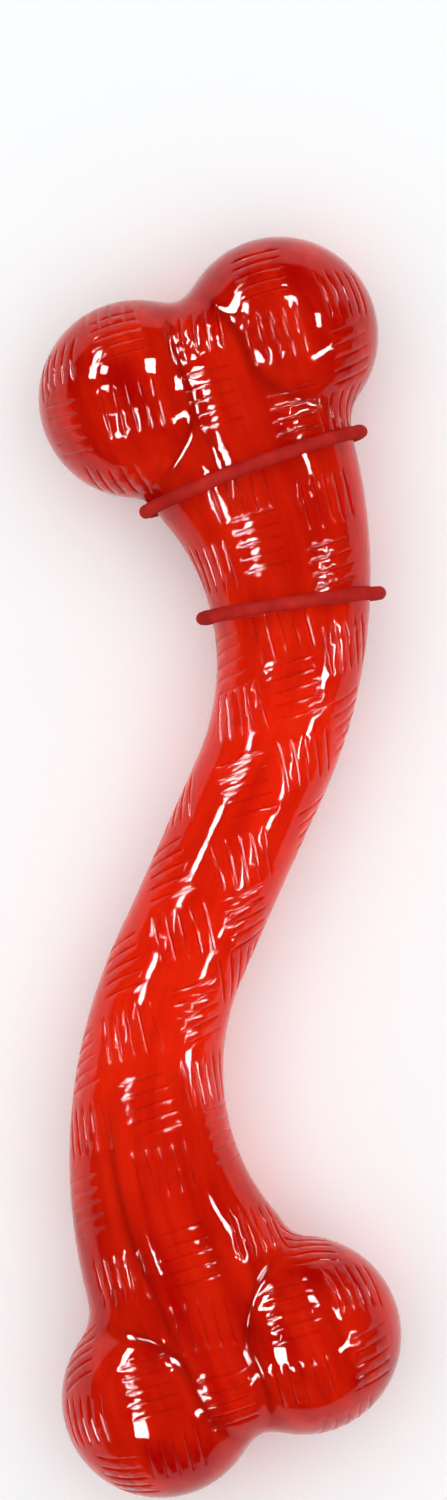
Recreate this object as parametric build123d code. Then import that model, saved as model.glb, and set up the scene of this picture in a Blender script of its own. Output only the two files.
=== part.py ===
# A curved rubber chew bone for a dog, with two wire ties round its upper neck.
# Millimetres, +Z up. The bone lies flat: +Y runs along it and the origin is on the floor
# below its middle. A half turn about Z maps the bone onto itself, so each rule below is
# written for the upper half and the lower half is the same rule turned.

import os
from math import cos, pi, radians, sin, sqrt

from build123d import *

# The bone's outline, seen from above
overall_length = 304.8
knob_radius = 24.0
knob_overlap = 10.5
stem_proud = 1.6
middle_run = 23.5
end_run = 30.35
bend_tilt = 24.0

# The shaft's section, which swells from a round waist to a wide oval neck
waist_radius = 15.8
neck_half_width = 26.1
flare_start = 14.0
stem_step = 2.5
depth_power = 1.3
stem_flat = 4.5
crease_fillet = 2.4

# The ties: a soft sleeve on a wire, wrapped once round the shaft and twisted at the back
tie_radius = 1.65
wire_radius = 0.5
wire_clearance = 0.1
tie_clearance = 0.55
floor_clearance = 0.45
tie_gap = 33.8
upper_tie_skew = -3.5
lower_tie_skew = 4.4
upper_tail_angle = -125.0
lower_tail_angle = -61.0
tail_turns = 1.5
tail_pitch = 12.0
strand_gap = 0.45
tail_lift = 0.3
crossing_angle = 32.0

# Lengths along the centre line from its middle: straight, one bend, then straight again
tilt = radians(bend_tilt)
knob_spacing = 2 * knob_radius - knob_overlap
knob_meeting = sqrt(knob_radius**2 - (knob_spacing / 2) ** 2)
knob_centre_y = overall_length / 2 - knob_radius - knob_spacing / 2 * sin(tilt)
bend_height = knob_centre_y - (middle_run + end_run) * cos(tilt)
bend_radius = bend_height / (2 * sin(tilt))
bend_end = middle_run + bend_radius * 2 * tilt
bend_centre_x = middle_run * sin(tilt) - bend_radius * cos(tilt)
bend_centre_y = middle_run * cos(tilt) + bend_radius * sin(tilt)
bend_end_x = bend_centre_x + bend_radius * cos(tilt)
bend_end_y = bend_centre_y + bend_radius * sin(tilt)
knob_line = bend_end + end_run
stem_end = knob_line + knob_meeting + stem_proud
crease = knob_line - sqrt(knob_radius**2 - (neck_half_width - knob_spacing / 2) ** 2)
neck = crease - crease_fillet
upper_tie_station = neck - tie_radius - tie_clearance
lower_tie_station = upper_tie_station - tie_gap

# The tie is the lowest thing between the knobs, and it stays clear of the floor
tie_lift = tie_clearance + tie_radius
neck_half_depth = knob_radius - tie_lift - tie_radius - floor_clearance
stem_radius = knob_radius - stem_step
strand_radius = tie_radius + strand_gap / 2
bore_radius = wire_radius + wire_clearance


def lean(station):
    """Angle of the centre line from +Y towards +X."""
    bent = min(max(abs(station), middle_run), bend_end) - middle_run
    return tilt - bent / bend_radius


def centre(station):
    """Point of the centre line, half way up the bone."""
    along = abs(station)
    if along <= middle_run:
        point = Vector(along * sin(tilt), along * cos(tilt))
    elif along <= bend_end:
        reach = Vector(cos(lean(along)), -sin(lean(along)))
        point = Vector(bend_centre_x, bend_centre_y) + reach * bend_radius
    else:
        past = along - bend_end
        point = Vector(bend_end_x - past * sin(tilt), bend_end_y + past * cos(tilt))
    turned = point if station >= 0 else point * -1
    return turned + Vector(0, 0, knob_radius)


def half_depth(station):
    """Half of the shaft's depth: it swells up to the upper tie, then on to the round stem."""
    along = abs(station)
    swell = max(min(along, upper_tie_station) - flare_start, 0) / (upper_tie_station - flare_start)
    ease = min(max(along - upper_tie_station, 0) / (knob_line - upper_tie_station), 1)
    grown = (neck_half_depth - waist_radius) * swell**depth_power
    return waist_radius + grown + (stem_radius - neck_half_depth) * ease


def half_width(station):
    """Half of the shaft's width: it swells up to the neck and eases into a round stem."""
    along = abs(station)
    swelling = neck_half_width - waist_radius
    swell = max(min(along, neck) - flare_start, 0) / (neck - flare_start)
    run = knob_line - neck
    ease = min(max(along - neck, 0) / run, 1)
    carry = 2 * swelling / (neck - flare_start) * run * ease * (1 - ease) ** 2
    shrink = (neck_half_width - stem_radius) * ease**2 * (3 - 2 * ease)
    return waist_radius + swelling * swell**2 + carry - shrink


def section_plane(station, skew=0.0):
    """Plane across the shaft, facing the lower end, with x across the bone and y up."""
    turn = lean(station) - radians(skew)
    across = Vector(cos(turn), -sin(turn), 0)
    return Plane(origin=centre(station), x_dir=across, z_dir=across.cross(Vector(0, 0, 1)))


def shaft():
    """The S-shaped shaft from one stem end to the other, with rounded ends."""
    steps = 20
    ovals = []
    for step in range(-steps, steps + 1):
        station = stem_end * step / steps
        ovals.append(section_plane(station) * Ellipse(half_width(station), half_depth(station)))
    blank = loft(ovals)
    rims = [edge for end in blank.faces().filter_by(GeomType.PLANE) for edge in end.edges()]
    return fillet(rims, stem_radius - stem_flat)


def knobs():
    """Four round knobs, a pair across each end of the shaft, with their poles facing outwards."""
    balls = []
    for station in (-knob_line, knob_line):
        for side in (-1, 1):
            outward = section_plane(station).x_dir * side
            spot = Plane(origin=centre(station) + outward * (knob_spacing / 2), z_dir=outward)
            balls.append(spot * Sphere(knob_radius))
    return balls


def bone():
    """The whole moulding: the shaft and its knobs, with softened creases."""
    body = shaft()
    for ball in knobs():
        body += ball
    balls = body.faces().filter_by(GeomType.SPHERE)
    creases = balls.edges() & (body.faces() - balls).edges()
    return fillet(creases, crease_fillet)


def ring_spot(station, skew, angle):
    """Point on the tie's ring, at an angle round the shaft and lifted off its surface there."""
    plane = section_plane(station, skew)
    local = station + half_width(station) * cos(angle) * sin(radians(skew))
    wide = (half_width(local) + tie_lift) * cos(angle)
    deep = (half_depth(local) + tie_lift) * sin(angle)
    return plane.origin + plane.x_dir * wide + plane.y_dir * deep


def ring_point(station, skew, angle):
    """Point and direction on the tie's ring."""
    nudge = 0.001
    span = ring_spot(station, skew, angle + nudge) - ring_spot(station, skew, angle - nudge)
    return ring_spot(station, skew, angle), span.normalized()


def strand_point(foot, across, down, side, turn):
    """Point and direction on one strand of the twisted tail."""
    out = across.cross(down)
    climb = down * (tail_pitch / (2 * pi))
    arm = out * cos(turn) + across * sin(turn)
    swing = across * cos(turn) - out * sin(turn)
    axis = foot + out * (strand_radius + tail_lift)
    spot = axis + climb * turn + arm * (side * strand_radius)
    return spot, (climb + swing * (side * strand_radius)).normalized()


def biarc(start, start_way, end, end_way):
    """Two arcs between two points, tangent to each other and to both directions."""
    span = end - start
    pull = span.dot(start_way + end_way)
    bend = 2 * (1 - start_way.dot(end_way))
    reach = (sqrt(pull**2 + bend * span.dot(span)) - pull) / bend
    first = start + start_way * reach
    last = end - end_way * reach
    joint = (first + last) * 0.5
    leading = Edge.make_tangent_arc(start, start_way, joint)
    return [leading, Edge.make_tangent_arc(joint, last - first, end)]


def tie_path(station, skew, tail_angle):
    """Centre line of a tie: up one strand of the tail, round the shaft, down the other."""
    tail = radians(tail_angle)
    foot, across = ring_point(station, skew, tail)
    down = section_plane(station, skew).z_dir
    quarters = round(tail_turns * 4)
    turns = [2 * pi * tail_turns * i / quarters for i in range(quarters + 1)]
    spots = []
    for turn in reversed(turns):
        spot, way = strand_point(foot, across, down, 1, turn)
        spots.append((spot, way * -1))
    ring_steps = 12
    opening = radians(crossing_angle)
    for step in range(ring_steps + 1):
        angle = tail - opening - (2 * pi - 2 * opening) * step / ring_steps
        spot, way = ring_point(station, skew, angle)
        spots.append((spot, way * -1))
    spots += [strand_point(foot, across, down, -1, turn) for turn in turns]
    arcs = []
    for (start, start_way), (end, end_way) in zip(spots, spots[1:]):
        arcs += biarc(start, start_way, end, end_way)
    return Wire(arcs)


def least_gap(path):
    """Least gap between two runs of the tie, measured on points along it."""
    steps = 800
    spots = [path.position_at(i / steps) for i in range(steps + 1)]
    skipped = int(4 * tie_radius / path.length * steps)
    pairs = [(i, j) for i in range(steps + 1) for j in range(i + skipped, steps + 1)]
    return min((spots[i] - spots[j]).length for i, j in pairs) - 2 * tie_radius


ties = {
    "upper_tie": tie_path(upper_tie_station, upper_tie_skew, upper_tail_angle),
    "lower_tie": tie_path(lower_tie_station, lower_tie_skew, lower_tail_angle),
}
pieces = {"bone": bone()}
for name, path in ties.items():
    start = Plane(origin=path.position_at(0), z_dir=path.tangent_at(0))
    pieces[name + "_sleeve"] = sweep(start * (Circle(tie_radius) - Circle(bore_radius)), path)
    pieces[name + "_wire"] = sweep(start * Circle(wire_radius), path)
    print(f"{name}: {path.length:.1f} mm long, least gap to itself {least_gap(path):.2f} mm")

os.makedirs("parts", exist_ok=True)
for name, piece in pieces.items():
    export_step(piece, f"parts/{name}.step")
    size = piece.bounding_box()
    print(f"{name}: {piece.volume:.0f} mm3, valid {piece.is_valid}, from {size.min} to {size.max}")
print(f"bend centre at x {bend_centre_x:.2f}, y {bend_centre_y:.2f}")
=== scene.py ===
# %% [markdown]
# # A curved rubber chew bone with two wire ties
# The bone is one moulding of clear red rubber, about 305 mm long, lying flat. Two soft ties
# go round its upper neck. The solids come packed with their joints, so this lesson only
# dresses them: every piece below is built in the same place, in the same frame, and rides
# on the body that already carries its solid.

import math

import bmesh
import bpy
import numpy as np
from mathutils import Matrix, Vector, noise


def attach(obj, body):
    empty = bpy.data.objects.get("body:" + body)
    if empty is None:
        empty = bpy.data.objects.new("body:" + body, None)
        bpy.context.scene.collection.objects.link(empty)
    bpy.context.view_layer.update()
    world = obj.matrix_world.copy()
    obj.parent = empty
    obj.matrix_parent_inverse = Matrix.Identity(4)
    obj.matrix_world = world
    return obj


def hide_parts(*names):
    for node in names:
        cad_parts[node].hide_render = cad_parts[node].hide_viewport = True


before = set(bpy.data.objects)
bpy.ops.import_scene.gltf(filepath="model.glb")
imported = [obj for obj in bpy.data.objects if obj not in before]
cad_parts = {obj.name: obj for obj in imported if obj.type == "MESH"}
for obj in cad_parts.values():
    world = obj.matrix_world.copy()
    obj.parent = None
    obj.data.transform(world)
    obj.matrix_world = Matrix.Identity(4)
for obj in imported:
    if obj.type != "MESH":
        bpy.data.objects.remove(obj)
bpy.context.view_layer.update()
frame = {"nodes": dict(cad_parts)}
scene = bpy.context.scene
scene.view_settings.view_transform = "Standard"
print("solids loaded:", ", ".join(frame["nodes"]))

# %% [markdown]
# ## The camera
# The bone is seen from straight above, with its length up the picture. A long lens from
# 1.5 m away keeps the ends from looking stretched. The lens follows from the height of
# the view at the bone's middle, so the framing is one number.

# %% Set the camera above the bone
mm = 0.001
camera_distance = 1.5
view_height = 362.6 * mm
view_centre = Vector((0.85, 28.3, 24.0)) * mm

camera_data = bpy.data.cameras.new("overhead_camera")
camera_data.sensor_width = 36
camera_data.lens = camera_data.sensor_width * camera_distance / view_height
camera_data.clip_end = 50
camera = bpy.data.objects.new("overhead_camera", camera_data)
camera.location = view_centre + Vector((0, 0, camera_distance))
scene.collection.objects.link(camera)
scene.camera = camera
print(f"lens {camera_data.lens:.0f} mm, {camera_distance} m above the bone's middle")

# %% [markdown]
# ## The bone's centre line
# The line runs straight through the middle, bends one way, and straightens again into each
# end. A half turn maps one end onto the other, so the rule is written for the upper half
# and turned for the lower one. Lengths here are in millimetres, with z measured from the
# bone's middle plane.

# %% Lay out the centre line
overall_length = 304.8
knob_radius, knob_spacing = 24.0, 37.5
middle_run, end_run = 23.5, 30.35
tilt = math.radians(24.0)
knob_centre_y = overall_length / 2 - knob_radius - knob_spacing / 2 * math.sin(tilt)
bend_radius = (knob_centre_y - (middle_run + end_run) * math.cos(tilt)) / (2 * math.sin(tilt))
bend_end = middle_run + bend_radius * 2 * tilt
bend_x = middle_run * math.sin(tilt) - bend_radius * math.cos(tilt)
bend_y = middle_run * math.cos(tilt) + bend_radius * math.sin(tilt)
bend_end_x = bend_x + bend_radius * math.cos(tilt)
bend_end_y = bend_y + bend_radius * math.sin(tilt)
knob_line = bend_end + end_run


def lean(station):
    """Angle of the centre line from +Y towards +X."""
    bent = min(max(abs(station), middle_run), bend_end) - middle_run
    return tilt - bent / bend_radius


def centre(station):
    """Point of the centre line."""
    along = abs(station)
    if along <= middle_run:
        spot = Vector((along * math.sin(tilt), along * math.cos(tilt), 0))
    elif along <= bend_end:
        reach = Vector((math.cos(lean(along)), -math.sin(lean(along)), 0))
        spot = Vector((bend_x, bend_y, 0)) + reach * bend_radius
    else:
        past = along - bend_end
        spot = Vector((bend_end_x - past * math.sin(tilt), bend_end_y + past * math.cos(tilt), 0))
    return spot if station >= 0 else -spot


print(f"bend radius {bend_radius:.1f} mm, knobs {knob_line:.1f} mm from the middle")

# %% [markdown]
# ## Measuring along and across
# A bent shape is easiest to describe along its bend: how far along the centre line a point
# is, and how far beside the line. Points of the lower half are given a half turn first.
# Each of the three runs, straight, bent and straight again, then has its own measure.

# %% Measure along and across the bone


def on_lower_half(spots):
    """Whether each point is on the lower half."""
    return spots[:, 0] * math.sin(tilt) + spots[:, 1] * math.cos(tilt) < 0


def turned_up(spots):
    """The points, with those of the lower half given a half turn."""
    turn = np.where(on_lower_half(spots), -1.0, 1.0)
    return spots * np.stack([turn, turn, np.ones(len(spots))], axis=1)


def along_and_across(spots):
    """Station along the centre line and offset across it, for points of the upper half."""
    x, y = spots[:, 0], spots[:, 1]
    sweep = np.arctan2(y - bend_y, x - bend_x)
    straight = x * math.sin(tilt) + y * math.cos(tilt)
    bent = middle_run + bend_radius * (sweep + tilt)
    ending = bend_end - (x - bend_end_x) * math.sin(tilt) + (y - bend_end_y) * math.cos(tilt)
    station = np.where(sweep < -tilt, straight, np.where(sweep > tilt, ending, bent))
    beside = x * math.cos(tilt) - y * math.sin(tilt)
    outside = np.hypot(x - bend_x, y - bend_y) - bend_radius
    past = (x - bend_end_x) * math.cos(tilt) + (y - bend_end_y) * math.sin(tilt)
    return station, np.where(sweep < -tilt, beside, np.where(sweep > tilt, past, outside))


knob_middle = np.array([centre(knob_line)])
print(f"the knobs' middle measures {along_and_across(knob_middle)[0][0]:.1f} mm along the line")

# %% [markdown]
# ## The bone's section
# The shaft is round at the waist and swells into a wide oval neck. Between the knobs it
# carries on as a raised stem with a rounded end.

# %% Say how wide and deep the shaft is
waist_radius, neck_half_width, neck_half_depth = 15.8, 26.1, 19.7
stem_radius, stem_depth, stem_proud, stem_rounding = 21.5, 23.2, 1.6, 17.0
flare_start, neck, depth_power = 14.0, 102.3, 1.3
tie_station = {"upper_tie": 100.08, "lower_tie": 66.28}
stem_end = knob_line + math.sqrt(knob_radius**2 - (knob_spacing / 2) ** 2) + stem_proud


def eased(value):
    """0 below 0, 1 above 1, and a smooth step between."""
    step = np.clip(value, 0.0, 1.0)
    return step * step * (3.0 - 2.0 * step)


def half_depth(station):
    """Half of the shaft's depth: it swells up to the upper tie, then on to the stem."""
    swell_end = tie_station["upper_tie"]
    swell = np.clip((station - flare_start) / (swell_end - flare_start), 0.0, 1.0)
    grown = (neck_half_depth - waist_radius) * swell**depth_power
    rise = np.clip((station - swell_end) / (knob_line - swell_end), 0.0, 1.0)
    return waist_radius + grown + (stem_depth - neck_half_depth) * rise


def half_width(station):
    """Half of the shaft's width: it swells up to the neck and eases into the stem."""
    swelling = neck_half_width - waist_radius
    swell = np.clip((station - flare_start) / (neck - flare_start), 0.0, 1.0)
    ease = np.clip((station - neck) / (knob_line - neck), 0.0, 1.0)
    carry = 2 * swelling / (neck - flare_start) * (knob_line - neck) * ease * (1 - ease) ** 2
    shrink = (neck_half_width - stem_radius) * eased(ease)
    return waist_radius + swelling * swell**2 + carry - shrink


neck_size = f"{2 * neck_half_width:.1f} x {2 * neck_half_depth:.1f} mm"
print(f"waist {2 * waist_radius:.1f} mm, neck {neck_size}")

# %% [markdown]
# ## The valleys
# A shallow valley runs from each crease beside the stem down the shaft and fades out. Each
# has a line across the shaft, a width, and a station where it starts to deepen. The right
# one is deeper on the lower half, and the left one drifts towards the middle.

# %% Say how deep the valleys are
upper_valley, lower_valley, left_valley = 0.15, 0.7, 0.45
right_start, right_run, right_line, right_width = 38.0, 40.0, 9.1, 1.7
left_start, left_run, left_line, left_width = 76.0, 26.0, 13.0, 2.0
left_drift = 0.05
valley_end, valley_fade = 128.0, 16.0


def valley_depth(station, across, lower):
    """Depth of the shallow valleys that run on from the creases."""
    deep = np.where(lower, lower_valley, upper_valley)
    off_right = (across - right_line) / right_width
    right = deep * eased((station - right_start) / right_run) * np.exp(-(off_right**2))
    off_left = (across + left_line - left_drift * station) / left_width
    left = left_valley * eased((station - left_start) / left_run) * np.exp(-(off_left**2))
    return (right + left) * eased((valley_end - station) / valley_fade)


print(f"valleys up to {lower_valley} mm deep, ending {valley_end:.0f} mm from the middle")

# %% [markdown]
# ## How far a point is from each form
# Sculpting the soft creases by hand would be slow. A distance rule says instead, for any
# point, how far it is from the surface. It starts from the plain forms: an oval for the
# shaft, which shifts a little to one side as it becomes the stem, and balls for the knobs.

# %% Measure the distance to each form
stem_shift, shift_start, shift_run = 3.0, 98.0, 27.0
tiny = 1e-9
knob_way = Vector((math.cos(tilt), math.sin(tilt), 0))
knob_centres = [
    np.array(centre(knob_line) + knob_way * (side * knob_spacing / 2)) for side in (-1, 1)
]


def form_distances(spots):
    """Signed distances of each point from the shaft and from the two knobs of its end."""
    upper = turned_up(spots)
    station, across = along_and_across(upper)
    wide, deep = half_width(station), half_depth(station)
    beside = across - stem_shift * eased((station - shift_start) / shift_run)
    height = upper[:, 2]
    reach = np.hypot(beside / wide, height / deep)
    slope = np.maximum(np.hypot(beside / wide**2, height / deep**2), tiny)
    side = reach * (reach - 1.0) / slope + stem_rounding
    end = station - stem_end + stem_rounding
    rounded = np.hypot(np.maximum(side, 0.0), np.maximum(end, 0.0))
    shaft = np.minimum(np.maximum(side, end), 0.0) + rounded - stem_rounding
    balls = [np.linalg.norm(upper - ball, axis=1) - knob_radius for ball in knob_centres]
    return [shaft + valley_depth(station, across, on_lower_half(spots)), *balls]


print(f"knob centres at {knob_centres[0].round(1)} and {knob_centres[1].round(1)}")

# %% [markdown]
# ## One surface from all the forms
# A blend joins the forms, in a narrow crease on the broad faces and a soft hollow at the
# sides. The creases are a little sharper at the lower end. Vertices can then be settled
# exactly onto the surface, and its slope gives the direction that faces outwards.

# %% Blend the forms into one surface
side_blend = 4.0
upper_blend, lower_blend = 1.9, 1.3
upper_cut, lower_cut = 0.16, 0.3
face_start, face_run = 9.0, 11.0


def blended(one, other, reach):
    """The nearer of two distances, rounded where they are about equal."""
    close = np.maximum(reach - np.abs(one - other), 0.0) / reach
    return np.minimum(one, other) - close * close * reach / 4


def on_face(spots):
    """1 for points on the bone's broad faces, easing to 0 at its sides."""
    return eased((np.abs(spots[:, 2]) - face_start) / face_run)


def distance(spots):
    """Signed distance of each point from the bone's smooth surface."""
    forms = form_distances(spots)
    nearest = np.sort(forms, axis=0)
    joined = forms[0]
    lower = on_lower_half(spots)
    narrow = np.where(lower, lower_blend, upper_blend)
    cut = np.where(lower, lower_cut, upper_cut)
    reach = side_blend + (narrow - side_blend) * on_face(spots)
    for ball in forms[1:]:
        joined = blended(joined, ball, reach)
    return joined + cut * on_face(spots) * np.exp(-((nearest[1] - nearest[0]) ** 2))


def outward(spots):
    """Direction that faces outwards at each point."""
    nudge = 0.05
    slopes = [distance(spots + step) - distance(spots - step) for step in np.eye(3) * nudge]
    slope = np.stack(slopes, axis=1) / (2 * nudge)
    return slope / np.maximum(np.linalg.norm(slope, axis=1, keepdims=True), tiny)


def settled(spots, steps=5):
    """The points moved onto the surface."""
    for _ in range(steps):
        spots = spots - outward(spots) * distance(spots)[:, None]
    return spots


print(f"the middle of the waist is {-distance(np.zeros((1, 3)))[0]:.1f} mm inside the surface")

# %% [markdown]
# ## The bone's blank
# A rough body comes first: ovals across the centre line, bridged into a shaft, and four
# balls pushed into its ends. They only have to be near the surface, because the skin is
# settled later.

# %% Bridge the ovals and add the knobs
oval_count, oval_sides, end_gap = 61, 40, 0.3


def oval_loop(bm, station):
    """One oval across the shaft; its edges."""
    along = abs(station)
    short = max(along - (stem_end - stem_rounding), 0.0)
    trim = stem_rounding - math.sqrt(stem_rounding**2 - short**2)
    turn = lean(station)
    across = Vector((math.cos(turn), -math.sin(turn), 0))
    up = Vector((0, 0, 1))
    axes = Matrix((across, up, across.cross(up))).transposed().to_4x4()
    oval = Matrix.Diagonal((float(half_width(along)) - trim, float(half_depth(along)) - trim, 1, 1))
    place = Matrix.Translation(centre(station)) @ axes @ oval
    ring = bmesh.ops.create_circle(
        bm, cap_ends=False, segments=oval_sides, radius=1.0, matrix=place
    )
    return list({edge for vert in ring["verts"] for edge in vert.link_edges})


blank = bmesh.new()
stations = np.linspace(-stem_end + end_gap, stem_end - end_gap, oval_count)
loops = [oval_loop(blank, float(station)) for station in stations]
for first, second in zip(loops, loops[1:]):
    bmesh.ops.bridge_loops(blank, edges=first + second)
bmesh.ops.holes_fill(blank, edges=loops[0] + loops[-1], sides=0)
for ball in knob_centres:
    for half_turn in (1, -1):
        spot = Vector((ball[0] * half_turn, ball[1] * half_turn, 0))
        bmesh.ops.create_uvsphere(
            blank, u_segments=40, v_segments=24, radius=knob_radius, matrix=Matrix.Translation(spot)
        )
bmesh.ops.recalc_face_normals(blank, faces=blank.faces)
blank_mesh = bpy.data.meshes.new("bone_blank")
blank.to_mesh(blank_mesh)
blank.free()
print(f"blank made: {len(blank_mesh.polygons)} faces")

# %% [markdown]
# ## One skin
# A voxel remesh joins the shaft and the balls into one skin of even squares, the way clay
# is joined before it is smoothed. The blank itself is then thrown away.

# %% Join the blank into one skin
skin_step = 1.95

blank_object = bpy.data.objects.new("bone_blank", blank_mesh)
scene.collection.objects.link(blank_object)
joining = blank_object.modifiers.new("join", "REMESH")
joining.mode = "VOXEL"
joining.voxel_size = skin_step
evaluated = blank_object.evaluated_get(bpy.context.evaluated_depsgraph_get())
bone_mesh = bpy.data.meshes.new_from_object(evaluated)
bone_mesh.name = "rubber_bone"
bpy.data.objects.remove(blank_object)
bpy.data.meshes.remove(blank_mesh)
print(f"blank joined: {len(bone_mesh.polygons)} faces")

# %% [markdown]
# ## Settling the skin
# The remeshed skin follows the voxels, so it is relaxed and pulled onto the surface a few
# times. Relaxing evens out the squares, and settling puts every vertex back exactly. The
# two halves of the mould match, so only the upper half is kept here and mirrored later.

# %% Relax and settle
relax_rounds = 4


def read_spots(bm):
    """Every vertex of a bmesh as rows of x, y, z."""
    return np.array([vert.co[:] for vert in bm.verts])


def write_spots(bm, spots):
    """Put the rows back on the vertices."""
    for vert, spot in zip(bm.verts, spots):
        vert.co = spot


bone = bmesh.new()
bone.from_mesh(bone_mesh)
for _ in range(relax_rounds):
    bmesh.ops.smooth_vert(
        bone, verts=bone.verts, factor=0.5, use_axis_x=True, use_axis_y=True, use_axis_z=True
    )
    write_spots(bone, settled(read_spots(bone), steps=2))
bmesh.ops.bisect_plane(
    bone,
    geom=[*bone.verts, *bone.edges, *bone.faces],
    dist=0.2,
    plane_co=(0, 0, 0),
    plane_no=(0, 0, 1),
    clear_inner=True,
)
print(f"upper half kept: {len(bone.faces)} faces")

# %% [markdown]
# ## Finer squares in the folds
# The creases beside the knobs and the valleys are tight, so the squares along them are
# divided and settled again. A crease is where a point is about as near to one form as to
# the next.

# %% Divide the squares along creases and valleys
crease_reach, valley_limit = 2.4, 0.12


def crease_gap(spots):
    """How far each point is from being as near to one form as to the next."""
    nearest = np.sort(form_distances(spots), axis=0)
    return nearest[1] - nearest[0]


def valley_at(spots):
    """Depth of the valleys at each point."""
    return valley_depth(*along_and_across(turned_up(spots)), on_lower_half(spots))


def make_finer(bm, chosen, cuts):
    """Divide the edges between chosen vertices and settle the skin again."""
    bm.verts.index_update()
    edges = [edge for edge in bm.edges if all(chosen[vert.index] for vert in edge.verts)]
    bmesh.ops.subdivide_edges(bm, edges=edges, cuts=cuts, use_grid_fill=True)
    write_spots(bm, settled(read_spots(bm)))
    print(f"{len(edges)} edges divided by {cuts}")


make_finer(bone, crease_gap(read_spots(bone)) < crease_reach, cuts=3)
make_finer(bone, valley_at(read_spots(bone)) > valley_limit, cuts=1)
bmesh.ops.recalc_face_normals(bone, faces=bone.faces)
print(f"upper half settled to within {np.abs(distance(read_spots(bone))).max():.3f} mm")

# %% [markdown]
# ## Where the grip grooves are
# The moulding carries small patches of five pressed grooves, turned alternately across and
# along, like thumb marks all over it. Each place is where the patch's middle is seen from
# above, in millimetres on the bone's middle plane.

# %% List the groove patches
cross_patches = [
    (-25.1, 129.3), (-37.7, 105.6), (-1.7, 113.6), (9.2, 144.1), (32.4, 124.5), (18.6, 108.8),
    (9.7, 78.8), (27.8, 72.0), (1.7, 49.3), (18.4, 43.3), (30.7, 35.5), (6.3, 19.6), (21.5, 9.9),
    (-13.1, -0.7), (6.8, -12.1), (-24.2, -23.7), (-4.8, -34.8), (-33.4, -47.1), (-16.9, -57.5),
    (1.0, -64.1), (-32.9, -81.7), (-7.7, -93.8), (2.4, -129.3), (-34.3, -118.4), (-16.9, -125.7),
    (-22.7, -147.9), (21.8, -91.4), (17.2, -107.3), (37.5, -118.4),
]
long_patches = [
    (-21.3, 110.9), (-40.1, 120.6), (-24.9, 92.6), (-26.8, 133.9), (13.3, 128.6), (30.2, 139.2),
    (29.0, 110.2), (4.8, 90.6), (26.3, 89.2), (-2.2, 72.0), (15.0, 57.0), (31.2, 53.7), (4.4, 37.7),
    (21.3, 25.9), (-10.6, 14.3), (5.8, 1.7), (-8.9, -16.2), (4.8, -25.1), (-21.8, -40.1),
    (-2.9, -51.7), (-32.6, -63.6), (-13.5, -73.5), (9.2, -87.5), (-24.2, -99.8), (-4.1, -110.7),
    (-32.9, -134.2), (-10.6, -142.6), (32.9, -101.0), (20.5, -125.0), (30.9, -133.9), (-6.5, 129.3),
]
cross_turn, long_turn = math.radians(16.0), math.radians(104.5)
print(f"{len(cross_patches)} patches across the bone, {len(long_patches)} along it")

# %% [markdown]
# ## The patches on the surface
# A line from the camera through each place finds the patch on the surface: it steps on by a
# share of the distance that is left, and the last point is settled. The grooves' direction
# is given flat, so it is carried from flat onto the surface there.

# %% Find the patches on the surface
start_height = 30.0
step_count, step_share, longest_step = 120, 0.6, 6.0


def seen_from_above(places):
    """Points on the surface that the camera sees at these places of the middle plane."""
    eye = np.array([*(view_centre / mm)[:2], camera_distance / mm])
    ways = np.column_stack([places, np.zeros(len(places))]) - eye
    ways /= np.linalg.norm(ways, axis=1, keepdims=True)
    reach = (eye[2] - start_height) / -ways[:, 2]
    for _ in range(step_count):
        left_over = distance(eye + ways * reach[:, None])
        reach = reach + step_share * np.clip(left_over, 0.0, longest_step)
        reach = np.minimum(reach, eye[2] / -ways[:, 2])
    return settled(eye + ways * reach[:, None])


def patch_axes(facing, turn):
    """Directions along and across a patch's grooves, carried from flat onto the surface."""
    flat = Vector((math.cos(turn), math.sin(turn), 0))
    face = Vector(facing)
    along = flat - (face + Vector((0, 0, 1))) * (face.dot(flat) / (1 + face.z))
    return np.array(along.normalized()), np.cross(facing, along.normalized())


patch_spots = seen_from_above(np.array(cross_patches + long_patches))
patch_turns = np.array([cross_turn] * len(cross_patches) + [long_turn] * len(long_patches))
patches = []
for spot, facing, turn in zip(patch_spots, outward(patch_spots), patch_turns):
    patches.append((spot, facing, *patch_axes(facing, turn)))
print(f"{len(patches)} patches on the upper half")

# %% [markdown]
# ## Cutting edges for the grooves
# A groove less than a millimetre wide is finer than the skin's squares. Instead of a finer
# skin everywhere, the skin is cut only where it is needed: planes along both edges and the
# floor of each groove, and across its ends. Each face remembers the square that it comes
# from, so that a patch cuts only the squares below it.

# %% Cut the skin along every groove
groove_count, groove_spacing = 5, 3.2
groove_half_width, groove_half_length = 0.44, 6.2
side_cuts = (-1.0, -0.5, 0.0, 0.5, 1.0)
end_cuts = (-1.0, -0.82, 0.82, 1.0)
patch_half_width, patch_half_length, patch_half_height = 8.2, 7.3, 9.0
least_facing = 0.15

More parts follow.
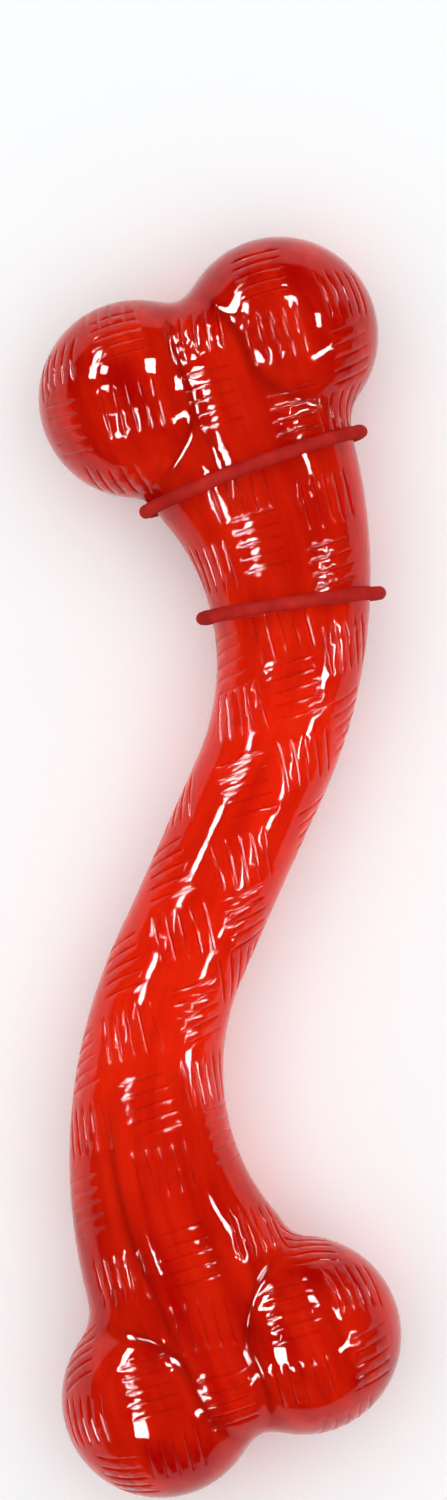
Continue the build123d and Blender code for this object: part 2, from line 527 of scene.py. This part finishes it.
offsets = [(i - (groove_count - 1) / 2) * groove_spacing for i in range(groove_count)]
origin = bone.faces.layers.int.new("origin")
middles = []
headings = []
for number, face in enumerate(bone.faces):
    face[origin] = number
    middles.append(face.calc_center_median()[:])
    headings.append(face.normal[:])
middles, headings = np.array(middles), np.array(headings)
for spot, facing, along, across in patches:
    away = middles - spot
    below = np.abs(away @ across) < patch_half_width
    below &= np.abs(away @ along) < patch_half_length
    below &= np.abs(away @ facing) < patch_half_height
    below &= headings @ facing > least_facing
    chosen = set(np.nonzero(below)[0].tolist())
    faces = [face for face in bone.faces if face[origin] in chosen]
    verts = {vert for face in faces for vert in face.verts}
    edges = {edge for face in faces for edge in face.edges}
    geometry = [*verts, *edges, *faces]
    cuts = [(across, offset + groove_half_width * step) for offset in offsets for step in side_cuts]
    cuts += [(along, groove_half_length * end) for end in end_cuts]
    for way, reach in cuts:
        plane_spot = Vector(spot + way * reach)
        cut = bmesh.ops.bisect_plane(
            bone, geom=geometry, dist=0.03, plane_co=plane_spot, plane_no=Vector(way)
        )
        geometry = cut["geom"]
print(f"skin cut for {len(patches)} patches: {len(bone.faces)} faces")

# %% [markdown]
# ## Pressing the grooves in
# The cut skin is settled again, and each vertex inside a groove is pushed inwards. The
# press is deepest along the groove's middle and fades at its ends, as a mould tool leaves it.

# %% Press the grooves
groove_depth, end_fade = 0.38, 0.22
patch_reach = 12.0

spots = settled(read_spots(bone), steps=2)
facings = outward(spots)
pressed = np.zeros(len(spots))
for spot, facing, along, across in patches:
    away = spots - spot
    close = np.linalg.norm(away, axis=1) < patch_reach
    near = np.nonzero(close & (facings @ facing > 0.0))[0]
    reach, beside = away[near] @ along, away[near] @ across
    fade = eased((groove_half_length - np.abs(reach)) / (end_fade * groove_half_length))
    for offset in offsets:
        off_line = np.clip(np.abs(beside - offset) / groove_half_width, 0.0, 1.0)
        depth = groove_depth * np.cos(off_line * math.pi / 2) ** 2 * fade
        pressed[near] = np.maximum(pressed[near], depth)
write_spots(bone, spots - facings * pressed[:, None])
print(f"grooves pressed: {int((pressed > 0.01).sum())} vertices")

# %% [markdown]
# ## Closing the moulding
# Shade is painted into the creases, valleys and grooves: each vertex first keeps how deep it
# lies in a crease, valley or groove, and the finish paints it darker there. Mirroring the
# finished half then closes the moulding along its parting line, and the whole is lifted onto
# the floor and brought from millimetres to metres.

# %% Record the painted fold shade and mirror the half
# Shares of painted shade in the creases and grooves
crease_shade_share, groove_shade_share = 0.8, 0.4

crease_shade = crease_shade_share * np.exp(-(crease_gap(spots) ** 2)) * on_face(spots)
valley_shade = np.minimum(valley_at(spots) / lower_valley, 1.0) ** 3
painted_fold_shade = np.maximum(np.maximum(crease_shade, valley_shade), groove_shade_share * pressed / groove_depth)
fold_shade = bone.verts.layers.float.new("fold_shade")
for vert, depth in zip(bone.verts, painted_fold_shade):
    vert[fold_shade] = depth
    if vert.is_boundary:
        vert.co.z = 0.0
bmesh.ops.triangulate(bone, faces=[face for face in bone.faces if len(face.verts) > 4])
bone.faces.layers.int.remove(origin)
bmesh.ops.mirror(bone, geom=[*bone.verts, *bone.edges, *bone.faces], axis="Z", merge_dist=0.001)
bmesh.ops.recalc_face_normals(bone, faces=bone.faces)
bmesh.ops.translate(bone, verts=bone.verts, vec=(0, 0, knob_radius))
bmesh.ops.scale(bone, verts=bone.verts, vec=(mm, mm, mm))
for face in bone.faces:
    face.smooth = True
bone.to_mesh(bone_mesh)
triangles = sum(len(face.verts) - 2 for face in bone.faces)
print(f"bone closed: {triangles} triangles")

# %% [markdown]
# ## What the finish needs, and the bone's place
# The finish paints glow streaks that follow the bend, standing in for light bent inside the
# rubber, so each vertex keeps its place along and across the bone for them. It also keeps how
# near it is to the thin waist, where the finish paints a glow for the light that comes through.
# The bone then stands for its solid and rides on its body.

# %% Keep the places for the painted glow and place the bone
thin_glow_end, thin_glow_run = 105.0, 70.0

placed = read_spots(bone) / mm - np.array([0, 0, knob_radius])
bone.free()
station, across = along_and_across(turned_up(placed))
half = np.where(on_lower_half(placed), -1.0, 1.0)
# Painted glow streaks: each vertex's place along and across the bend
glow_streak_rows = np.stack([across * half, station * half, placed[:, 2]], axis=1)
glow_streak_place = bone_mesh.attributes.new("glow_streak_place", "FLOAT_VECTOR", "POINT")
glow_streak_place.data.foreach_set("vector", glow_streak_rows.ravel())
# Painted glow: how near each vertex is to the thin waist
thin_glow = bone_mesh.attributes.new("thin_glow", "FLOAT", "POINT")
thin_glow.data.foreach_set("value", eased((thin_glow_end - station) / thin_glow_run))
bone_object = bpy.data.objects.new("rubber_bone", bone_mesh)
scene.collection.objects.link(bone_object)
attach(bone_object, "bone")
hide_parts("bone")
print("bone keeps:", ", ".join(("fold_shade", glow_streak_place.name, thin_glow.name)))

# %% [markdown]
# ## The way the ties go
# Each tie is a soft rubber sleeve on a thin wire. It goes once round the shaft, and its two
# ends are twisted together at the back. The ring follows the shaft's oval, a little larger
# and a little skewed, and the tail is two strands round one axis.

# %% Lay out the ties
tie_lift = 2.2
strand_radius, tail_lift = 1.875, 0.3
tail_turns, tail_pitch = 1.5, 12.0
crossing = math.radians(32.0)
strand_points, ring_points = 19, 40
tie_skew = {"upper_tie": -3.5, "lower_tie": 4.4}
tail_angle = {"upper_tie": -125.0, "lower_tie": -61.0}
front_bow = {"upper_tie": 0.7, "lower_tie": 0.2}


def ring_spot(name, angle):
    """Point on the tie's ring, lifted off the shaft and bowed a little at the front."""
    station, skew = tie_station[name], math.radians(tie_skew[name])
    turn = lean(station) - skew
    across = Vector((math.cos(turn), -math.sin(turn), 0))
    bow = front_bow[name] * max(math.sin(angle), 0.0) ** 2
    local = station + bow + float(half_width(station)) * math.cos(angle) * math.sin(skew)
    wide = (float(half_width(local)) + tie_lift) * math.cos(angle)
    deep = (float(half_depth(local)) + tie_lift) * math.sin(angle)
    along = Vector((math.sin(turn), math.cos(turn), 0))
    return centre(station) + across * wide + along * bow + Vector((0, 0, deep))


def tie_points(name):
    """Points along a tie: up one strand of the tail, round the shaft, down the other."""
    nudge = 0.001
    tail = math.radians(tail_angle[name])
    foot = ring_spot(name, tail)
    across = (ring_spot(name, tail + nudge) - ring_spot(name, tail - nudge)).normalized()
    turn = lean(tie_station[name]) - math.radians(tie_skew[name])
    down = Vector((-math.sin(turn), -math.cos(turn), 0))
    out = across.cross(down)
    axis = foot + out * (strand_radius + tail_lift)
    twists = np.linspace(0, 2 * math.pi * tail_turns, strand_points)

    def strand(side, twist):
        arm = out * math.cos(twist) + across * math.sin(twist)
        return axis + down * (tail_pitch * twist / (2 * math.pi)) + arm * (side * strand_radius)

    ring = np.linspace(tail - crossing, tail + crossing - 2 * math.pi, ring_points)
    points = [strand(1, twist) for twist in twists[::-1]]
    points += [ring_spot(name, angle) for angle in ring]
    return points + [strand(-1, twist) for twist in twists]


tie_lines = {name: tie_points(name) for name in tie_station}
print("points along each tie:", ", ".join(f"{n} {len(p)}" for n, p in tie_lines.items()))

# %% [markdown]
# ## The ties' sleeves
# A smooth curve through those points, given the sleeve's thickness, makes the tube, and a
# little unevenness keeps it from looking machined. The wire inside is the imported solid, and
# sleeve and wire are cut off together at the ends.

# %% Make the sleeves
tie_radius = 1.65
lumps = ((0.33, 0.15), (0.9, 0.08))


def make_tie(name):
    """A sleeve along the tie's points, as a mesh."""
    curve = bpy.data.curves.new(name + "_line", "CURVE")
    curve.dimensions = "3D"
    curve.bevel_depth = tie_radius
    curve.bevel_resolution = 5
    curve.resolution_u = 4
    curve.use_fill_caps = True
    points = tie_lines[name]
    spline = curve.splines.new("NURBS")
    spline.points.add(len(points) - 1)
    for point, place in zip(spline.points, points):
        point.co = (*place, 1.0)
    spline.order_u = 4
    spline.use_endpoint_u = True
    line = bpy.data.objects.new(name + "_line", curve)
    scene.collection.objects.link(line)
    swept = line.evaluated_get(bpy.context.evaluated_depsgraph_get())
    mesh = bpy.data.meshes.new_from_object(swept)
    mesh.name = name + "_rubber"
    bpy.data.objects.remove(line)
    bpy.data.curves.remove(curve)
    tube = bmesh.new()
    tube.from_mesh(mesh)
    bmesh.ops.remove_doubles(tube, verts=tube.verts, dist=0.01)
    bmesh.ops.recalc_face_normals(tube, faces=tube.faces)
    tube.normal_update()
    for vert in tube.verts:
        lump = sum(noise.noise(vert.co * rate) * height for rate, height in lumps)
        vert.co += vert.normal * lump
        vert.co.z += knob_radius
        vert.co *= mm
    for face in tube.faces:
        face.smooth = True
    tube.to_mesh(mesh)
    tube.free()
    sleeve = bpy.data.objects.new(name + "_rubber", mesh)
    scene.collection.objects.link(sleeve)
    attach(sleeve, name)
    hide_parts(name + "_sleeve")
    print(f"{name} sleeve made: {len(mesh.polygons)} faces")
    return sleeve


tie_sleeves = [make_tie(name) for name in ("upper_tie", "lower_tie")]

# %% [markdown]
# ## Marks that every finish shares
# Nothing handled is perfectly even. One node group makes three soft patterns from the
# object's own coordinates: slow clouds, fine speckle and thin scuffs. Each material places
# the group with its own scale and takes the pattern that it needs.

# %% Build the shared marks


def set_inputs(node, **values):
    """Set a node's inputs by name."""
    for name, value in values.items():
        node.inputs[name.replace("_", " ")].default_value = value
    return node


def new_node(tree, kind, **values):
    """A node with its inputs set by name."""
    return set_inputs(tree.nodes.new(kind), **values)


marks = bpy.data.node_groups.new("handling_marks", "ShaderNodeTree")
number = "NodeSocketFloat"
marks.interface.new_socket("Scale", in_out="INPUT", socket_type=number).default_value = 1.0
for socket in ("Clouds", "Speckle", "Scuffs"):
    marks.interface.new_socket(socket, in_out="OUTPUT", socket_type=number)
group_in = marks.nodes.new("NodeGroupInput")
group_out = marks.nodes.new("NodeGroupOutput")
place = marks.nodes.new("ShaderNodeTexCoord")
sized = marks.nodes.new("ShaderNodeVectorMath")
sized.operation = "SCALE"
marks.links.new(place.outputs["Object"], sized.inputs[0])
marks.links.new(group_in.outputs["Scale"], sized.inputs["Scale"])
clouds = new_node(marks, "ShaderNodeTexNoise", Scale=38.0, Detail=2.0)
speckle = new_node(marks, "ShaderNodeTexNoise", Scale=900.0, Detail=3.0)
scuff_turn = new_node(marks, "ShaderNodeMapping", Rotation=(0.3, 0.2, 0.7), Scale=(1.0, 0.12, 1.0))
scuffs = new_node(marks, "ShaderNodeTexNoise", Scale=420.0, Detail=4.0, Roughness=0.65)
for texture in (clouds, speckle, scuff_turn):
    marks.links.new(sized.outputs["Vector"], texture.inputs["Vector"])
marks.links.new(scuff_turn.outputs["Vector"], scuffs.inputs["Vector"])
for socket, texture in (("Clouds", clouds), ("Speckle", speckle), ("Scuffs", scuffs)):
    marks.links.new(texture.outputs["Fac"], group_out.inputs[socket])
print("shared marks:", ", ".join(item.name for item in marks.interface.items_tree))

# %% [markdown]
# ## Small tools for the finishes
# Every finish is a few nodes in front of one surface shader. The same few steps come back:
# place the marks, stretch a pattern between two limits, mix two colours by it, calculate
# with it, or press it in as fine relief. Each step is a function, so a finish reads as a list.

# %% Write the tools for the finishes


def new_material(name):
    """A node material; its tree and its surface shader."""
    material = bpy.data.materials.new(name)
    material.use_nodes = True
    return material, material.node_tree, material.node_tree.nodes["Principled BSDF"]


def feed(tree, socket, value):
    """Link a socket to another node's output, or set it to a plain value."""
    if isinstance(value, bpy.types.NodeSocket):
        tree.links.new(value, socket)
    else:
        socket.default_value = value


def place_marks(tree, scale):
    """The outputs of the shared marks, in this material, at this scale."""
    node = tree.nodes.new("ShaderNodeGroup")
    node.node_tree = marks
    return set_inputs(node, Scale=scale).outputs


def kept_on_mesh(tree, name, output="Fac"):
    """A value that the mesh keeps on its vertices."""
    node = tree.nodes.new("ShaderNodeAttribute")
    node.attribute_name = name
    return node.outputs[output]


def calculated(tree, operation, *values):
    """The result of a Math node on these values."""
    node = tree.nodes.new("ShaderNodeMath")
    node.operation = operation
    for socket, value in zip(node.inputs, values):
        feed(tree, socket, value)
    return node.outputs["Value"]


def spread(tree, source, low, high):
    """A value from the marks, stretched between two limits."""
    node = new_node(tree, "ShaderNodeMapRange", From_Min=0.3, From_Max=0.7, To_Min=low, To_Max=high)
    tree.links.new(source, node.inputs["Value"])
    return node.outputs["Result"]


def mixed(tree, share, one, other):
    """A colour that goes from one to the other by a share."""
    node = tree.nodes.new("ShaderNodeMix")
    node.data_type = "RGBA"
    for name, value in (("Factor", share), ("A", one), ("B", other)):
        feed(tree, node.inputs[name], value)
    return node.outputs["Result"]


def two_tone(tree, source, dark, bright):
    """A colour between two, chosen by a value from the marks."""
    return mixed(tree, spread(tree, source, 0.0, 1.0), dark, bright)


def bumped(tree, shader, source, strength, height):
    """Fine relief from a value of the marks."""
    node = new_node(tree, "ShaderNodeBump", Strength=strength, Distance=height)
    tree.links.new(source, node.inputs["Height"])
    tree.links.new(node.outputs["Normal"], shader.inputs["Normal"])


print("tools ready for marks, mixes and relief")

# %% [markdown]
# ## The clear red rubber
# The rubber is glossy and lets red light through, so it glows from inside rather than
# looking painted. Subsurface scattering carries red far and the other colours hardly at
# all, and a share of clear transmission bends the light as a gel does. Darker and brighter
# streaks along the bone are painted glow and shade, standing in for light bent inside the
# rubber. The colour is painted brighter where the shaft is thin, as a glow for light coming
# through, and painted darker in the folds as shade. Faint scuffs break the polish that the
# mould leaves.

# %% Mix the red rubber
deep_red, bright_red = (0.52, 0.004, 0.002, 1), (1.0, 0.036, 0.006, 1)
# The darkest red is painted shade for the creases, valleys and grooves.
fold_shade_red = (0.25, 0.001, 0.001, 1)
glow_streak_rate = (0.16, 0.012, 0.16)
cloud_share, glow_streak_share, glow_streak_base = 0.45, 0.55, -0.06
thin_glow_share, fold_shade_share = 0.16, 0.55

red_rubber, tree, shader = new_material("clear_red_rubber")
rubber_marks = place_marks(tree, 1.0)
# Painted glow and shade: streaks along the bend stand in for light bent inside the rubber.
glow_streak_size = new_node(tree, "ShaderNodeMapping", Scale=glow_streak_rate)
glow_streaks = new_node(tree, "ShaderNodeTexNoise", Scale=1.0, Detail=3.0, Roughness=0.6)
tree.links.new(kept_on_mesh(tree, "glow_streak_place", "Vector"), glow_streak_size.inputs["Vector"])
tree.links.new(glow_streak_size.outputs["Vector"], glow_streaks.inputs["Vector"])
glow_streaked = calculated(tree, "MULTIPLY_ADD", glow_streaks.outputs["Fac"], glow_streak_share, glow_streak_base)
clouds_and_glow_streaks = calculated(tree, "MULTIPLY_ADD", rubber_marks["Clouds"], cloud_share, glow_streaked)
# Painted glow: the thin waist is made brighter.
brighter = calculated(tree, "MULTIPLY_ADD", kept_on_mesh(tree, "thin_glow"), thin_glow_share, clouds_and_glow_streaks)
# Painted shade: the folds are mixed towards the darkest red.
fold_shaded = calculated(tree, "MULTIPLY", kept_on_mesh(tree, "fold_shade"), fold_shade_share)
tone = mixed(tree, fold_shaded, two_tone(tree, brighter, deep_red, bright_red), fold_shade_red)
tree.links.new(tone, shader.inputs["Base Color"])
tree.links.new(spread(tree, rubber_marks["Scuffs"], 0.01, 0.04), shader.inputs["Roughness"])
bumped(tree, shader, rubber_marks["Speckle"], 0.02, 0.0003)
set_inputs(shader, IOR=1.32, Transmission_Weight=0.3, Subsurface_Weight=1.0)
set_inputs(shader, Subsurface_Radius=(1.0, 0.06, 0.03), Subsurface_Scale=0.02)
bone_mesh.materials.clear()
bone_mesh.materials.append(red_rubber)
print("bone finish:", red_rubber.name)

# %% [markdown]
# ## The ties' rubber and wire
# The sleeves are a duller, softer red with a dry surface, and the wire is plain drawn
# steel. Both read the same marks, at a finer scale.

# %% Mix the sleeve rubber and the steel
dull_red, soft_red = (0.40, 0.012, 0.009, 1), (0.58, 0.024, 0.016, 1)
dark_steel, pale_steel = (0.42, 0.42, 0.43, 1), (0.62, 0.62, 0.63, 1)

tie_rubber, tree, shader = new_material("dull_tie_rubber")
tie_marks = place_marks(tree, 4.0)
tone = two_tone(tree, tie_marks["Clouds"], dull_red, soft_red)
tree.links.new(tone, shader.inputs["Base Color"])
tree.links.new(spread(tree, tie_marks["Scuffs"], 0.60, 0.80), shader.inputs["Roughness"])
bumped(tree, shader, tie_marks["Speckle"], 0.25, 0.0002)
set_inputs(shader, Specular_IOR_Level=0.02)
for sleeve in tie_sleeves:
    sleeve.data.materials.clear()
    sleeve.data.materials.append(tie_rubber)

drawn_steel, tree, shader = new_material("drawn_steel_wire")
wire_marks = place_marks(tree, 8.0)
tone = two_tone(tree, wire_marks["Clouds"], dark_steel, pale_steel)
tree.links.new(tone, shader.inputs["Base Color"])
tree.links.new(spread(tree, wire_marks["Scuffs"], 0.22, 0.42), shader.inputs["Roughness"])
set_inputs(shader, Metallic=1.0)
for name in ("upper_tie_wire", "lower_tie_wire"):
    for wire_slot in frame["nodes"][name].material_slots:
        wire_slot.material = drawn_steel
print("tie finishes:", tie_rubber.name, "and", drawn_steel.name)

# %% [markdown]
# ## The floor
# The bone lies on a plain white sheet. The sheet looks a little brighter to the camera and
# in reflections than it lights the bone, so it stays white beside a soft shadow.

# %% Lay the sheet
sheet_size, sheet_gap, sheet_lift = 30.0, 0.0005, 0.11
sheet_colour, plain_white = (0.91, 0.93, 0.93, 1), (1.0, 1.0, 1.0, 1)

sheet = bmesh.new()
bmesh.ops.create_grid(sheet, x_segments=1, y_segments=1, size=sheet_size)
sheet_mesh = bpy.data.meshes.new("pale_sheet")
sheet.to_mesh(sheet_mesh)
sheet.free()
pale_sheet = bpy.data.objects.new("pale_sheet", sheet_mesh)
pale_sheet.location.z = -sheet_gap
scene.collection.objects.link(pale_sheet)

sheet_white, tree, shader = new_material("sheet_white")
set_inputs(shader, Base_Color=sheet_colour, Roughness=0.9, Specular_IOR_Level=0.0)
set_inputs(shader, Emission_Color=plain_white)
ray_kinds = tree.nodes.new("ShaderNodeLightPath").outputs
seen = ray_kinds["Is Camera Ray"]
for kind in ("Is Glossy Ray", "Is Transmission Ray"):
    seen = calculated(tree, "MAXIMUM", seen, ray_kinds[kind])
lifted = calculated(tree, "MULTIPLY", seen, sheet_lift)
tree.links.new(lifted, shader.inputs["Emission Strength"])
sheet_mesh.materials.append(sheet_white)
print("sheet laid:", sheet_white.name)

# %% [markdown]
# ## The light
# A dim surround and a wide soft light overhead light everything evenly. The crisp highlights
# come from narrow boxes that only reflections see: strips and bars at the sides draw the
# lines along the shaft, and smaller boxes leave the square glints on the knobs. That keeps
# the surround dark in the reflections and the red deep.

# %% Hang the lights
glint_level, overhead_level, surround_level = 60.0, 1.15, 0.5
surround_colour = (0.95, 0.97, 1.0, 1)
bone_middle = Vector((0, 0, knob_radius * mm))
upright = (0, 1, 0)

surround = bpy.data.worlds.new("dim_surround")
surround.use_nodes = True
background = surround.node_tree.nodes["Background"]
set_inputs(background, Color=surround_colour, Strength=surround_level)
surround.cycles_visibility.glossy = False
scene.world = surround


def hang_light(name, way, far, width, length, long_way, level, for_glints):
    """A flat soft box in a direction from the bone's middle, facing it, long along one way."""
    light = bpy.data.lights.new(name, "AREA")
    light.shape = "RECTANGLE"
    light.size, light.size_y = width, length
    light.energy = level * math.pi * width * length
    back = Vector(way).normalized()
    side = Vector(long_way).cross(back).normalized()
    hung = bpy.data.objects.new(name, light)
    axes = Matrix((side, back.cross(side), back)).transposed().to_4x4()
    hung.matrix_world = Matrix.Translation(bone_middle + back * far) @ axes
    hung.visible_camera = False
    hung.visible_diffuse = not for_glints
    hung.visible_glossy = for_glints
    hung.visible_transmission = False
    scene.collection.objects.link(hung)
    print(f"{name}: {light.energy:.1f} W")


# Each box: its name, direction, distance, width and length, and the way its length runs
overhead_box = ("overhead_soft", (0.0, 0.1, 1.0), 1.6, 2.4, 2.4, upright)
glint_boxes = [
    ("left_strip", (-0.67, 0.62, 0.41), 1.13, 0.15, 0.60, (0.35, 0.85, -0.39)),
    ("left_bar", (-0.60, 0.24, 0.77), 1.10, 0.13, 0.20, upright),
    ("right_strip", (0.80, -0.19, 0.57), 0.91, 0.08, 0.44, (0.52, 0.66, -0.54)),
    ("right_bar", (0.67, 0.36, 0.65), 0.95, 0.09, 0.24, upright),
    ("low_box", (-0.38, -0.46, 0.80), 1.10, 0.26, 0.60, upright),
    ("left_box", (-0.57, 0.54, 0.62), 1.20, 0.17, 0.18, upright),
    ("top_box", (0.22, 0.64, 0.73), 1.20, 0.22, 0.28, upright),
]
hang_light(*overhead_box, overhead_level, for_glints=False)
for box in glint_boxes:
    hang_light(*box, glint_level, for_glints=True)
